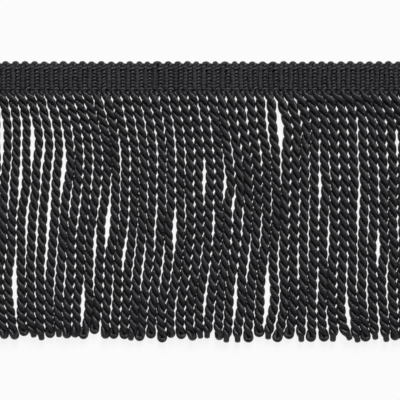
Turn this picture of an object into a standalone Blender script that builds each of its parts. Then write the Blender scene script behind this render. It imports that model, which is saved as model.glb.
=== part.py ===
"""Bullion fringe: a cut length of black crocheted trimming, laid flat and face up.

The gimp heading is a crocheted band, ribbed across and scalloped along its upper edge.
Below it a narrow foot carries the bullions, each a cord of two plies twisted on itself,
which all lie over to the right and part here and there, as they fell.
Metres, +Z up. The band runs along X and the bullions hang towards -Y.
"""
import math
import random

import bmesh
import bpy
from mathutils import Vector

MM = 0.001

# Driving sizes of the trimming
BULLION_COUNT = 45
PITCH = 3.4535 * MM
OVERALL_DEPTH = 101.6 * MM
LENGTH = BULLION_COUNT * PITCH

# Heading: the ribbed band
HEADING_DEPTH = 10.35 * MM
SCALLOP_RISE = 1.0 * MM
SCALLOP_TURN = 1.1 * MM
SCALLOP_EDGE_HEIGHT = 0.55
HEADING_ROWS = 2

# One rib from valley to valley: share of the pitch, height above the table, share of the scallop
RIB_SECTION = (
    # share, height, scallop
    (0.00, 1.55 * MM, 0.00),   # groove below the scallop's valley
    (0.14, 2.15 * MM, 0.62),   # smooth column, near side
    (0.38, 2.30 * MM, 0.95),   # smooth column, far side
    (0.50, 1.75 * MM, 1.00),   # groove inside the loop
    (0.62, 2.20 * MM, 0.95),   # beaded column, near side
    (0.88, 2.15 * MM, 0.58),   # beaded column, far side
)
# Valleys that the crochet pulled aside: number of the bullion below, shift
PULLED_VALLEYS = {
    16: -0.40 * MM,
    17: -0.95 * MM,
    22: -0.50 * MM,
    24: -0.60 * MM,
    26: -0.65 * MM,
    27: -0.85 * MM,
    28: -0.70 * MM,
    29: -0.50 * MM,
}

# Foot: the strip that the bullions are fused to
CLEARANCE = 0.3 * MM
FOOT_DEPTH = 1.0 * MM
FOOT_HEIGHT = 1.9 * MM
ROOT_WIDTH = 2.5 * MM

# Bullions: two plies, so the cord is wide and narrow by turns
CORD_HALF_WIDTH = 1.52 * MM
CORD_HALF_WAIST = 1.05 * MM
SIDE_GAP = 0.15 * MM
FIRST_RING = 1.3 * MM
RING_STEP = 2.95 * MM
RING_COUNT = 29
SHOULDER = 1.2 * MM
SHOULDER_SHARE = 0.92
TIP_SHARE = 0.45
CORNERS = ("right", "top", "left", "bottom")

# How the bullions lie over: sideways drift to the right, in millimetres
DRIFT_DEPTHS = (0.0, 3.5, 12.0, 23.0, 33.5, 44.5, 55.5, 66.0, 77.0, 86.0)
DRIFT = (
    # place along the band, then the drift at each of the depths below the foot
    (-71.0, (0.0, 1.0, 2.5, 2.1, 1.3, 0.7, 0.3, -0.4, 0.2, 0.7)),
    (-50.0, (0.0, 0.9, 3.0, 4.0, 3.0, 2.1, 1.4, 0.6, 0.1, 0.0)),
    (-31.0, (0.0, 0.7, 2.1, 3.4, 3.4, 2.6, 1.4, 0.7, 0.1, -0.5)),
    (-11.0, (0.0, 0.4, 1.8, 2.7, 2.5, 2.5, 2.1, 0.8, -0.7, -1.2)),
    (9.0, (0.0, 0.2, 1.3, 2.4, 2.9, 2.3, 1.6, 0.5, -0.5, -1.3)),
    (18.0, (0.0, 0.2, 1.2, 2.4, 2.6, 2.4, 1.7, 0.9, 0.4, -0.8)),
    (30.0, (0.0, 1.3, 2.8, 2.5, 2.6, 2.1, 1.8, 1.8, 1.4, 0.8)),
    (50.0, (0.0, 1.6, 2.4, 2.8, 3.0, 2.8, 2.6, 2.1, 2.1, 3.0)),
    (68.0, (0.0, 0.9, 2.6, 3.0, 3.1, 3.2, 3.3, 2.8, 3.2, 3.6)),
)

# Partings: number of the bullion on the left, depth of the middle, half length, width, in millimetres
PARTINGS = (
    # left bullion, depth, half length, width
    (0, 16.0, 13.0, 0.9),
    (2, 32.0, 9.0, 0.8),
    (2, 72.0, 15.0, 1.3),
    (3, 18.0, 9.0, 1.3),
    (5, 44.0, 13.0, 0.8),
    (6, 29.0, 11.0, 1.2),
    (9, 76.0, 11.0, 1.2),
    (10, 54.0, 9.0, 1.0),
    (11, 48.0, 12.0, 1.3),
    (13, 58.0, 9.0, 1.1),
    (18, 49.0, 10.0, 1.1),
    (21, 31.0, 11.0, 0.8),
    (22, 48.0, 9.0, 0.8),
    (22, 76.0, 10.0, 0.8),
    (23, 34.0, 7.0, 0.7),
    (24, 39.0, 7.0, 0.8),
    (25, 75.0, 11.0, 0.8),
    (28, 74.0, 13.0, 1.5),
    (29, 13.0, 10.0, 1.6),
    (33, 33.0, 8.0, 0.8),
    (36, 80.0, 11.0, 1.4),
    (37, 36.0, 22.0, 0.6),
    (39, 56.0, 8.0, 0.8),
    (41, 17.0, 6.0, 0.8),
)
PARTING_REACH = 2.4

# Each cord's own small wander
WANDER = 0.12 * MM
WANDER_WAVES = ((27.0 * MM, 1.0), (46.0 * MM, 0.8))
WANDER_START = 10.0 * MM
SEED = 46

# Ends: the mean line of the tips, and the bullions that stand out from it
TIP_DEPTH = 88.6 * MM
TIP_TREND = 0.5 * MM
TIP_SPREAD = 0.35 * MM
LONGEST_DEPTH = OVERALL_DEPTH - HEADING_DEPTH - CLEARANCE - FOOT_DEPTH
ODD_TIPS = {
    # number of the bullion, extra length
    4: -0.9 * MM,
    11: -1.6 * MM,
    18: 1.1 * MM,
    19: -0.8 * MM,
    26: 0.8 * MM,
    28: -1.2 * MM,
    30: 0.7 * MM,
}


def smooth_share(share):
    """Ease a share from 0 to 1 without corners."""
    share = min(max(share, 0.0), 1.0)
    return share * share * (3.0 - 2.0 * share)


def between(value, knots):
    """Find the pair of knots around a value, and the share of the way between them."""
    last = len(knots) - 2
    index = 0
    while index < last and value > knots[index + 1]:
        index += 1
    share = (value - knots[index]) / (knots[index + 1] - knots[index])
    return index, min(max(share, 0.0), 1.0)


def drift_in_row(values, depth):
    """Read one row of the drift table at a depth, on a smooth curve through its values."""
    index, share = between(depth / MM, DRIFT_DEPTHS)
    before = values[max(index - 1, 0)]
    start = values[index]
    end = values[index + 1]
    after = values[min(index + 2, len(values) - 1)]
    leave = 0.5 * (end - before)
    arrive = 0.5 * (after - start)
    square = share * share
    cube = square * share
    curve = (2 * cube - 3 * square + 1) * start + (cube - 2 * square + share) * leave
    curve += (3 * square - 2 * cube) * end + (cube - square) * arrive
    return curve * MM


def drift(place, depth):
    """Sideways drift of a cord that is rooted at a place, at a depth below the foot."""
    places = [row[0] for row in DRIFT]
    index, share = between(place / MM, places)
    left = drift_in_row(DRIFT[index][1], depth)
    right = drift_in_row(DRIFT[index + 1][1], depth)
    return left + (right - left) * smooth_share(share)


def parting_push(number, depth):
    """Push on one cord from the partings near it."""
    push = 0.0
    for left_bullion, middle, half_length, width in PARTINGS:
        along = (depth - middle * MM) / (half_length * MM)
        if abs(along) >= 1.0:
            continue
        away = number - (left_bullion + 0.5)
        fade = math.exp(-(abs(away) - 0.5) / PARTING_REACH)
        opening = math.cos(0.5 * math.pi * along) ** 2
        push += math.copysign(0.5 * width * MM, away) * fade * opening
    return push


def draw_cords():
    """Draw each cord's wander, length and first turn, in the order of the cords."""
    dice = random.Random(SEED)
    cords = []
    for number in range(BULLION_COUNT):
        phases = [dice.uniform(0.0, 2.0 * math.pi) for _ in WANDER_WAVES]
        trend = TIP_TREND * (2.0 * number / (BULLION_COUNT - 1) - 1.0)
        length = TIP_DEPTH + trend + dice.uniform(-TIP_SPREAD, TIP_SPREAD)
        length += ODD_TIPS.get(number, 0.0)
        first_turn = dice.randrange(2)
        cords.append({"phases": phases, "length": min(length, LONGEST_DEPTH), "first_turn": first_turn})
    longest = max(cords, key=lambda cord: cord["length"])
    longest["length"] = LONGEST_DEPTH
    return cords


def root_place(number):
    """X of a bullion's root."""
    return (number - 0.5 * (BULLION_COUNT - 1)) * PITCH


def cord_place(cords, number, depth):
    """X of a bullion's middle at a depth below the foot."""
    wander = 0.0
    for (wave, strength), phase in zip(WANDER_WAVES, cords[number]["phases"]):
        wander += strength * math.sin(2.0 * math.pi * depth / wave + phase)
    wander *= WANDER * smooth_share(depth / WANDER_START)
    place = root_place(number)
    return place + drift(place, depth) + parting_push(number, depth) + wander


def cord_section(cords, number, ring):
    """Half width and half height of a cord at a ring: flat and tall by turns."""
    if (ring + cords[number]["first_turn"]) % 2 == 0:
        return CORD_HALF_WIDTH, CORD_HALF_WAIST
    return CORD_HALF_WAIST, CORD_HALF_WIDTH


def room_beside(cords, number, depth, ring, neighbour):
    """Half width that the cord may have on the side of a neighbour."""
    if not 0 <= neighbour < BULLION_COUNT:
        return CORD_HALF_WIDTH
    own = cord_section(cords, number, ring)[0]
    other = cord_section(cords, neighbour, ring)[0]
    distance = abs(cord_place(cords, neighbour, depth) - cord_place(cords, number, depth))
    return distance * own / (own + other) - SIDE_GAP


def ring_corners(cords, number, ring, depth, share, section_ring):
    """Four corners of a cord's ring, with the widths kept clear of the cords beside it."""
    half_width, half_height = cord_section(cords, number, section_ring)
    middle = cord_place(cords, number, depth)
    to_right = min(half_width, room_beside(cords, number, depth, section_ring, number + 1))
    to_left = min(half_width, room_beside(cords, number, depth, section_ring, number - 1))
    axis_height = CORD_HALF_WIDTH
    corners = {
        "right": Vector((middle + to_right * share, -depth, axis_height)),
        "top": Vector((middle, -depth, axis_height + half_height * share)),
        "left": Vector((middle - to_left * share, -depth, axis_height)),
        "bottom": Vector((middle, -depth, axis_height - half_height * share)),
    }
    return corners


def cord_rings(cords, number):
    """All rings of one cord from the first below the foot to its round end."""
    rings = []
    for ring in range(RING_COUNT):
        depth = FIRST_RING + ring * RING_STEP
        rings.append(ring_corners(cords, number, ring, depth, 1.0, ring))
    end = cords[number]["length"]
    rings.append(ring_corners(cords, number, RING_COUNT, end - SHOULDER, SHOULDER_SHARE, RING_COUNT))
    rings.append(ring_corners(cords, number, RING_COUNT, end, TIP_SHARE, RING_COUNT))
    return rings


def root_corner(vert, place):
    """Name the corner of a cord that a corner of its root turns into, an eighth of a turn on."""
    is_high = vert.co.z > 0.5 * FOOT_HEIGHT
    if vert.co.x > place:
        return "right" if is_high else "bottom"
    return "top" if is_high else "left"


def grow_cord(mesh, root, cords, number):
    """Extrude one cord from its face on the foot, and crease its sides along the twist."""
    place = root_place(number)
    names = {vert: root_corner(vert, place) for vert in root.verts}
    last = {name: vert for vert, name in names.items()}
    face = root
    for corners in cord_rings(cords, number):
        old_verts = list(face.verts)
        face = bmesh.ops.extrude_discrete_faces(mesh, faces=[face])["faces"][0]
        new = {}
        for old, vert in zip(old_verts, face.verts):
            name = names[old]
            names[vert] = name
            new[name] = vert
            vert.co = corners[name]
        crease_sides(mesh, last, new)
        last = new


def crease_sides(mesh, upper, lower):
    """Split each side between two rings along the lay of the twist."""
    for index, name in enumerate(CORNERS):
        after = CORNERS[index - 1]
        side = mesh.faces.get((upper[name], upper[after], lower[after], lower[name]))
        bmesh.utils.face_split(side, upper[name], lower[after])


def make_foot(mesh):
    """Make the foot as a bar, cut across at both sides of each root."""
    bmesh.ops.create_cube(mesh, size=1.0)
    bmesh.ops.scale(mesh, vec=(LENGTH, FOOT_DEPTH, FOOT_HEIGHT), verts=mesh.verts)
    bmesh.ops.translate(mesh, vec=(0.0, 0.5 * FOOT_DEPTH, 0.5 * FOOT_HEIGHT), verts=mesh.verts)
    for number in range(BULLION_COUNT):
        for side in (-0.5, 0.5):
            cut = Vector((root_place(number) + side * ROOT_WIDTH, 0.0, 0.0))
            geometry = mesh.verts[:] + mesh.edges[:] + mesh.faces[:]
            bmesh.ops.bisect_plane(mesh, geom=geometry, plane_co=cut, plane_no=(1.0, 0.0, 0.0), dist=1e-7)


def find_root(mesh, number):
    """Find the face on the front of the foot that a cord grows from."""
    place = root_place(number)
    for face in mesh.faces:
        middle = face.calc_center_median()
        if face.normal.y < -0.9 and abs(middle.x - place) < 0.1 * MM and middle.y < 0.1 * MM:
            return face
    raise ValueError(f"no root for bullion {number}")


def make_skirt():
    """Make the foot and its bullions as one solid."""
    mesh = bmesh.new()
    make_foot(mesh)
    mesh.normal_update()
    cords = draw_cords()
    roots = [find_root(mesh, number) for number in range(BULLION_COUNT)]
    for number, root in enumerate(roots):
        grow_cord(mesh, root, cords, number)
    return mesh


def rib_column(column):
    """Place, height and scallop share of a column of the heading's grid, from its left end."""
    sections = len(RIB_SECTION)
    step = column + sections // 2
    number, section = divmod(step, sections)
    share, height, scallop = RIB_SECTION[section]
    valley = root_place(number - 1) + PULLED_VALLEYS.get(number - 1, 0.0)
    next_valley = root_place(number) + PULLED_VALLEYS.get(number, 0.0)
    return valley + share * (next_valley - valley), height, scallop


def make_heading():
    """Make the band from a grid that is raised into ribs, then walled and closed below."""
    mesh = bmesh.new()
    columns = BULLION_COUNT * len(RIB_SECTION)
    bmesh.ops.create_grid(mesh, x_segments=columns, y_segments=HEADING_ROWS, size=1.0)
    lower_edge = FOOT_DEPTH + CLEARANCE
    for vert in mesh.verts:
        column = round(0.5 * (vert.co.x + 1.0) * columns)
        row = round(0.5 * (vert.co.y + 1.0) * HEADING_ROWS)
        place, height, scallop = rib_column(column)
        edge = lower_edge + HEADING_DEPTH - SCALLOP_RISE * (1.0 - scallop)
        rows = ((lower_edge, height), (edge - SCALLOP_TURN, height), (edge, height * SCALLOP_EDGE_HEIGHT))
        vert.co = Vector((place, *rows[row]))
    rim = [edge for edge in mesh.edges if edge.is_boundary]
    walls = bmesh.ops.extrude_edge_only(mesh, edges=rim)
    hem = [item for item in walls["geom"] if isinstance(item, bmesh.types.BMVert)]
    for vert in hem:
        vert.co.z = 0.0
    hem_edges = [edge for edge in mesh.edges if edge.is_boundary]
    bmesh.ops.edgeloop_fill(mesh, edges=hem_edges)
    bmesh.ops.recalc_face_normals(mesh, faces=mesh.faces)
    return mesh


def make_material(name, colour, roughness):
    """Make a plain dyed-yarn material."""
    material = bpy.data.materials.new(name)
    material.use_nodes = True
    shader = material.node_tree.nodes["Principled BSDF"]
    shader.inputs["Base Color"].default_value = (*colour, 1.0)
    shader.inputs["Roughness"].default_value = roughness
    shader.inputs["Metallic"].default_value = 0.0
    return material


def make_object(name, mesh, material, parent):
    """Turn a bmesh into a named object under the trimming's empty."""
    data = bpy.data.meshes.new(name)
    mesh.to_mesh(data)
    mesh.free()
    data.materials.append(material)
    piece = bpy.data.objects.new(name, data)
    piece.parent = parent
    bpy.context.scene.collection.objects.link(piece)
    return piece


def centre(empty, pieces):
    """Move the empty so that the trimming's box stands on the origin."""
    points = [vert.co for piece in pieces for vert in piece.data.vertices]
    for axis in (0, 1):
        low = min(point[axis] for point in points)
        high = max(point[axis] for point in points)
        empty.location[axis] = -0.5 * (low + high)


def main():
    """Build the trimming."""
    for old in list(bpy.data.objects):
        bpy.data.objects.remove(old, do_unlink=True)
    empty = bpy.data.objects.new("bullion_fringe", None)
    bpy.context.scene.collection.objects.link(empty)
    heading_yarn = make_material("heading_yarn", (0.028, 0.028, 0.031), 0.85)
    bullion_yarn = make_material("bullion_yarn", (0.016, 0.016, 0.018), 0.60)
    heading = make_object("heading", make_heading(), heading_yarn, empty)
    skirt = make_object("skirt", make_skirt(), bullion_yarn, empty)
    centre(empty, (heading, skirt))


main()
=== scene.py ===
"""Looks of the bullion fringe: black yarn, twisted into bullions and crocheted into a heading.

Metres, +Z up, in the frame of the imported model. The heading runs along X, the bullions hang towards -Y, and
the trimming lies face up on a plain pale floor, under soft light from its upper edge.
"""
import logging
import math
import random
from dataclasses import dataclass, field
from enum import Enum
from typing import Any, NamedTuple, Sequence

import bmesh
import bpy
import numpy as np
from mathutils import Matrix, Vector

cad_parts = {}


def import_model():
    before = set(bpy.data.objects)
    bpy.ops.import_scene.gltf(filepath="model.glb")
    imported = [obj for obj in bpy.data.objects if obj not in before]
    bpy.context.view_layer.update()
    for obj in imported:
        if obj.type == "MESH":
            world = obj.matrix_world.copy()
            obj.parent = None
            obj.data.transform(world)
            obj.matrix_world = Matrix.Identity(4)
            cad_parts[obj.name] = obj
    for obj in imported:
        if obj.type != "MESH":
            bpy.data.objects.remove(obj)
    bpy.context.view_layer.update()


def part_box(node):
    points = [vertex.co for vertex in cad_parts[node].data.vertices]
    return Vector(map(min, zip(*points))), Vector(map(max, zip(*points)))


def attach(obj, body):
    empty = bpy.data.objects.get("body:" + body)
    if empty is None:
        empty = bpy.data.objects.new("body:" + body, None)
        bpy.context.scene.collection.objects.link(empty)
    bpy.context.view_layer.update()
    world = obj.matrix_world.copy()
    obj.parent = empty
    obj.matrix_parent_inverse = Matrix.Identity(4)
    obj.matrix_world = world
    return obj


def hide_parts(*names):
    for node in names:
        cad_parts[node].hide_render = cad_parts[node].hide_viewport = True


LOG = logging.getLogger("bullion_fringe")

MM = 0.001
TURN = 2.0 * math.pi
BODY = "root"
UV_NAME = "yarn"
DYE_NAME = "dye"

BULLION_COUNT = 45
PITCH = 3.4535 * MM
ROOT_LINE_DROP = 1.0 * MM
FOOT_CHAIN_DROP = 0.45 * MM

WHITE = (1.0, 1.0, 1.0, 1.0)


class TipForm(Enum):
    """How a looped end shows from above: the half turns past side by side, and the loop's radius."""

    WIDE = (0.0, 1.26 * MM)
    TURNED = (0.25, 1.16 * MM)
    TURNED_BACK = (0.75, 1.16 * MM)
    NARROW = (0.5, 0.76 * MM)

    @property
    def turn_share(self) -> float:
        """Share of a half turn at which the loop stands."""
        return self.value[0]

    @property
    def loop_radius(self) -> float:
        """Radius of the loop's middle line."""
        return self.value[1]

    @classmethod
    def of(cls, half_turns: float) -> "TipForm":
        """Find how a cord of so many half turns ends."""
        return min(cls, key=lambda form: abs(form.turn_share - half_turns % 1.0))


class Slot(Enum):
    """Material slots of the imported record."""

    HEADING = "heading_yarn"
    BULLION = "bullion_yarn"


def ease(share: np.ndarray) -> np.ndarray:
    """Ease shares from 0 to 1 without corners."""
    share = np.clip(share, 0.0, 1.0)
    return share * share * (3.0 - 2.0 * share)


def blend(start: Any, goal: Any, share: np.ndarray) -> np.ndarray:
    """Go from a start to a goal by a share."""
    return start + (goal - start) * share


def root_place(number: int) -> float:
    """X of a bullion's root, from the middle bullion's."""
    return (number - 0.5 * (BULLION_COUNT - 1)) * PITCH


class Value:
    """A number in a node tree: expressions on it add Math nodes."""

    def __init__(self, maker: "NodeMaker", socket: bpy.types.NodeSocket) -> None:
        """Wrap an output socket of a maker's tree."""
        self.maker = maker
        self.socket = socket

    def _math(self, operation: str, *values: Any) -> "Value":
        """Add a Math node that is fed with numbers or values."""
        node = self.maker.node("ShaderNodeMath", {"operation": operation}, dict(enumerate(values)))
        return Value(self.maker, node.outputs[0])

    def __add__(self, other: Any) -> "Value":
        """Sum."""
        return self._math("ADD", self, other)

    def __radd__(self, other: Any) -> "Value":
        """Sum, reflected."""
        return self._math("ADD", other, self)

    def __sub__(self, other: Any) -> "Value":
        """Difference."""
        return self._math("SUBTRACT", self, other)

    def __rsub__(self, other: Any) -> "Value":
        """Difference, reflected."""
        return self._math("SUBTRACT", other, self)

    def __mul__(self, other: Any) -> "Value":
        """Product."""
        return self._math("MULTIPLY", self, other)

    def __rmul__(self, other: Any) -> "Value":
        """Product, reflected."""
        return self._math("MULTIPLY", other, self)

    def distance(self, place: float) -> "Value":
        """Distance from a number."""
        return self._math("ABSOLUTE", self - place)

    def ridge(self) -> "Value":
        """Round ridges with sharp grooves between them, one for each whole number."""
        return self._math("ABSOLUTE", self._math("SINE", self * math.pi))


class NodeMaker:
    """Adds nodes to one node tree."""

    def __init__(self, tree: bpy.types.NodeTree) -> None:
        """Empty a tree, to fill it."""
        self.tree = tree
        tree.nodes.clear()

    def node(
        self,
        kind: str,
        settings: dict[str, Any] | None = None,
        inputs: dict[Any, Any] | None = None,
    ) -> bpy.types.Node:
        """Add a node, set it and feed its sockets.

        Args:
            kind: The node's type.
            settings: Its own settings, which are set first.
            inputs: Numbers, colours, sockets or values by socket name or number.

        Returns:
            The node.
        """
        node = self.tree.nodes.new(kind)
        for name, setting in (settings or {}).items():
            setattr(node, name, setting)
        for name, given in (inputs or {}).items():
            if isinstance(given, Value):
                given = given.socket
            if isinstance(given, bpy.types.NodeSocket):
                self.tree.links.new(given, node.inputs[name])
            else:
                node.inputs[name].default_value = given
        return node

    def value(self, kind: str, settings: dict[str, Any], inputs: dict[Any, Any], output: Any = 0) -> Value:
        """Add a node and wrap one of its outputs as a value."""
        return Value(self, self.node(kind, settings, inputs).outputs[output])

    def vector(self, x: Any, y: Any, z: Any) -> bpy.types.NodeSocket:
        """Join three numbers or values to a vector."""
        return self.node("ShaderNodeCombineXYZ", None, {"X": x, "Y": y, "Z": z}).outputs["Vector"]

    def noise(self, vector: bpy.types.NodeSocket, scale: float = 1.0, detail: float = 2.0) -> Value:
        """Add noise from about 0 to 1."""
        return self.value("ShaderNodeTexNoise", {}, {"Vector": vector, "Scale": scale, "Detail": detail})


@dataclass(frozen=True)
class YarnFinish:
    """Dyed yarn: filaments wound round each ply in small strands, uneven in their lie and their dye, with
    painted shade that makes the colour lighter on the crests of strands and filaments and darker in the
    grooves between them.

    It reads the piece's own UV map, which runs along each ply in metres and around it from 0 to 1, and the
    ply's dye number, from 0 to 1.
    """

    name: str
    dark: tuple[float, float, float]
    light: tuple[float, float, float]
    roughness: float
    specular: float
    # strands to a metre of ply, and strands wound side by side
    turns: float
    starts: float
    bump_depth: float
    # share of the bump that is left round the bend at a cord's end, where the filaments spread
    bend_relief: float = 1.0

    bend_place: float = 90.0 * MM
    bend_half_length: float = 2.5 * MM
    roughness_spread: float = 0.1
    streak_length: float = 0.25
    streak_detail: float = 1.0
    sway_pace: float = 0.5
    sway: float = 1.5
    filaments_a_strand: float = 2.0
    plies_apart: float = 60.0
    noises_apart: float = 9.0
    strand_height: float = 0.6
    cloud_along: float = 0.8 / MM
    cloud_around: float = 3.0
    clouds_apart: float = 40.0
    cloud_tint: float = 0.9
    # painted shade: lighter on the crests of strands and filaments, darker in the grooves between them,
    # following the bump's height
    strand_painted_shade: float = 0.4
    filament_painted_shade: float = 0.6
    dye_tint: float = 0.3
    shade: float = 0.65

    def make(self) -> bpy.types.Material:
        """Make the material.

        Returns:
            The material.
        """
        material = bpy.data.materials.new(self.name)
        material.use_nodes = True
        maker = NodeMaker(material.node_tree)
        uv = maker.node("ShaderNodeUVMap", {"uv_map": UV_NAME})
        parts = maker.node("ShaderNodeSeparateXYZ", None, {"Vector": uv.outputs["UV"]})
        along = Value(maker, parts.outputs["X"])
        around = Value(maker, parts.outputs["Y"])
        dye = maker.value("ShaderNodeAttribute", {"attribute_name": DYE_NAME}, {}, "Fac")
        wound = along * self.turns + around * self.starts
        apart = dye * self.plies_apart
        sway = self._streaks(maker, wound * self.sway_pace, around, apart)
        filaments = self._streaks(maker, wound * self.filaments_a_strand, around, apart + self.noises_apart)
        strands = (wound + sway * self.sway).ridge()
        height = strands * self.strand_height + filaments * (1.0 - self.strand_height)
        clouds = maker.noise(
            maker.vector(along * self.cloud_along, dye * self.clouds_apart, around * self.cloud_around)
        )
        # strands and filaments add painted shade that follows the bump; clouds and the dye number are the
        # yarn's own uneven tone
        tint = clouds * self.cloud_tint + strands * self.strand_painted_shade + filaments * self.filament_painted_shade
        tint = tint + dye * self.dye_tint - self.shade
        colour = maker.node(
            "ShaderNodeMix",
            {"data_type": "RGBA"},
            {"Factor": tint, "A": (*self.dark, 1.0), "B": (*self.light, 1.0)},
        )
        roughness = filaments * self.roughness_spread + (self.roughness - 0.5 * self.roughness_spread)
        bump = maker.node(
            "ShaderNodeBump",
            None,
            {"Strength": 1.0, "Distance": self.bump_depth, "Height": height * self._relief(maker, along)},
        )
        shader = maker.node(
            "ShaderNodeBsdfPrincipled",
            None,
            {
                "Base Color": colour.outputs["Result"],
                "Roughness": roughness,
                "Specular IOR Level": self.specular,
                "Normal": bump.outputs["Normal"],
            },
        )
        maker.node("ShaderNodeOutputMaterial", None, {"Surface": shader.outputs["BSDF"]})
        return material

    def _streaks(self, maker: NodeMaker, across: Value, around: Value, apart: Value) -> Value:
        """Noise drawn out along the filaments, by the place across them and the place around the ply."""
        vector = maker.vector(across, around * (1.0 / self.streak_length), apart)
        return maker.noise(vector, detail=self.streak_detail)

    def _relief(self, maker: NodeMaker, along: Value) -> Value:
        """Share of the bump that shows: all of it, but for the bend at a cord's end.

        Args:
            maker: The maker of the tree.
            along: Place along the ply.

        Returns:
            The share.
        """
        return maker.value(
            "ShaderNodeMapRange",
            {"interpolation_type": "SMOOTHSTEP"},
            {
                "Value": along.distance(self.bend_place),
                "From Min": self.bend_half_length,
                "From Max": 2.0 * self.bend_half_length,
                "To Min": self.bend_relief,
                "To Max": 1.0,
            },
        )


@dataclass(frozen=True)
class FloorFinish:
    """Plain pale paper that glows, so that it stays bright between the cords."""

    name: str = "pale_paper"
    base: float = 0.13
    glow: float = 0.871
    grain: float = 0.006
    grain_scale: float = 900.0

    def make(self) -> bpy.types.Material:
        """Make the material.

        Returns:
            The material.
        """
        material = bpy.data.materials.new(self.name)
        material.use_nodes = True
        maker = NodeMaker(material.node_tree)
        texture = maker.node("ShaderNodeTexCoord")
        noise = maker.noise(texture.outputs["Object"], scale=self.grain_scale)
        shade = noise * self.grain + (self.base - 0.5 * self.grain)
        colour = maker.node("ShaderNodeCombineColor", None, {"Red": shade, "Green": shade, "Blue": shade})
        shader = maker.node(
            "ShaderNodeBsdfPrincipled",
            None,
            {
                "Base Color": colour.outputs["Color"],
                "Roughness": 1.0,
                "Specular IOR Level": 0.0,
                "Emission Color": WHITE,
                "Emission Strength": self.glow,
            },
        )
        maker.node("ShaderNodeOutputMaterial", None, {"Surface": shader.outputs["BSDF"]})
        return material


BULLION_FINISH = YarnFinish(
    name="bullion_yarn_black",
    dark=(0.0038, 0.0035, 0.0052),
    light=(0.0110, 0.0101, 0.0165),
    roughness=0.40,
    specular=1.0,
    turns=6500.0,
    starts=-4.0,
    bump_depth=0.12 * MM,
    bend_relief=0.45,
)
HEADING_FINISH = YarnFinish(
    name="heading_yarn_black",
    dark=(0.0206, 0.0194, 0.0216),
    light=(0.069, 0.0648, 0.0724),
    roughness=0.60,
    specular=0.3,
    turns=3500.0,
    starts=8.0,
    bump_depth=0.14 * MM,
)
# painted light: the same black yarn as the heading's, made lighter so that the chain stitches on top read as
# lit
LIT_CHAIN_FINISH = YarnFinish(
    name="chain_yarn_painted_light",
    dark=(0.045, 0.043, 0.047),
    light=(0.125, 0.118, 0.131),
    roughness=0.50,
    specular=0.5,
    turns=4500.0,
    starts=4.0,
    bump_depth=0.09 * MM,
)


def edges_among(items: Sequence[Any]) -> list[bmesh.types.BMEdge]:
    """Pick the edges out of what an operator gave back."""
    return [item for item in items if isinstance(item, bmesh.types.BMEdge)]


def draw_on(
    mesh: bmesh.types.BMesh,
    rim: Sequence[bmesh.types.BMEdge],
    steps: int,
    centre: Sequence[float],
    axis: Sequence[float] = (0.0, 0.0, 1.0),
    stride: Sequence[float] = (0.0, 0.0, 0.0),
    angle: float = 0.0,
) -> list[bmesh.types.BMEdge]:
    """Draw a rim on in steps, straight or round a centre.

    Args:
        mesh: The mesh.
        rim: The edges of the rim.
        steps: How many steps.
        centre: The centre of the turn.
        axis: The axis of the turn.
        stride: How far each step moves.
        angle: How far all the steps turn together.

    Returns:
        The edges of the last rim.
    """
    made = bmesh.ops.spin(
        mesh,
        geom=rim,
        cent=centre,
        axis=axis,
        dvec=stride,
        angle=angle,
        steps=steps,
        use_merge=False,
        use_duplicate=False,
    )
    return edges_among(made["geom_last"])


def start_ply(mesh: bmesh.types.BMesh, sides: int, place: Matrix) -> list[bmesh.types.BMEdge]:
    """Start a ply of radius 1 with its closed end.

    Args:
        mesh: The empty mesh.
        sides: How many sides the ply has.
        place: Where the end goes, from flat at the origin.

    Returns:
        The edges of its rim.
    """
    circle = bmesh.ops.create_circle(mesh, cap_ends=True, cap_tris=False, segments=sides, radius=1.0)
    bmesh.ops.transform(mesh, matrix=place, verts=circle["verts"])
    return mesh.edges[:]


def close_ply(mesh: bmesh.types.BMesh, rim: Sequence[bmesh.types.BMEdge]) -> None:
    """Close a ply at its last rim, smooth it and turn its faces outwards.

    Args:
        mesh: The mesh.
        rim: The edges of the last rim.
    """
    bmesh.ops.edgeloop_fill(mesh, edges=rim)
    bmesh.ops.recalc_face_normals(mesh, faces=mesh.faces)
    for face in mesh.faces:
        face.smooth = True


def unit_from(mesh: bmesh.types.BMesh, name: str) -> bpy.types.Mesh:
    """Make a mesh a unit, with room for the dye number of each copy.

    Args:
        mesh: The mesh, which is freed.
        name: The unit's name.

    Returns:
        The unit.
    """
    mesh.verts.layers.float.new(DYE_NAME)
    unit = bpy.data.meshes.new(name)
    mesh.to_mesh(unit)
    mesh.free()
    return unit


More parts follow.
